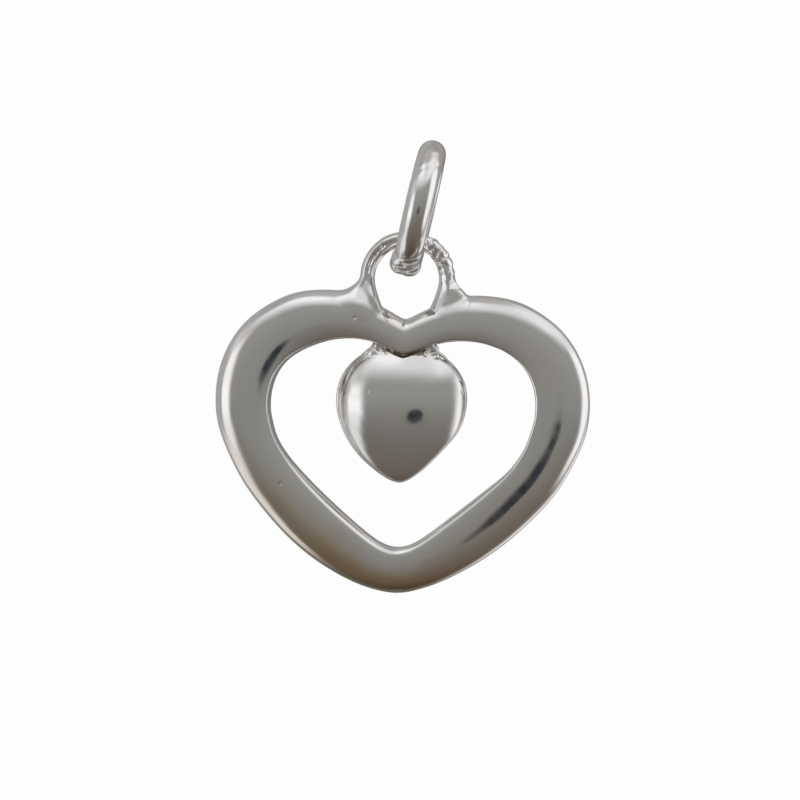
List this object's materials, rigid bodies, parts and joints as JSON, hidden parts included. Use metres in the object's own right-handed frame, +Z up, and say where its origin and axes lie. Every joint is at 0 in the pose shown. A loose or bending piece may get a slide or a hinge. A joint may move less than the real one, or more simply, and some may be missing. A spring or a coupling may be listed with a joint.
{
  "type": "heart pendant with jump ring",
  "caption": "Open heart pendant with a small domed heart inside and an eye on top, hanging from a round jump ring.",
  "frame": {"origin": "inside top of the jump ring, where a chain or cord bears", "axes": "+Z up, along the pendant from the tip of the heart to the jump ring; the front faces -Y; +X to the right as seen from the front"},
  "size_m": [0.014, 0.0052, 0.0169],
  "materials": {
    "ring_silver": "polished sterling silver wire, soldered shut",
    "cast_silver": "polished sterling silver casting with small pits and casting bits left at its joints"
  },
  "bodies": {
    "ring": {"jump_ring": "ring_silver"},
    "charm": {"heart_charm": "cast_silver"}
  },
  "joints": [
    {"name": "charm_swing", "type": "hinge", "parent": "ring", "child": "charm", "pos_m": [-0.00069, 0, -0.00354], "axis": [0, 1, 0], "range_deg": [-75, 75]}
  ]
}
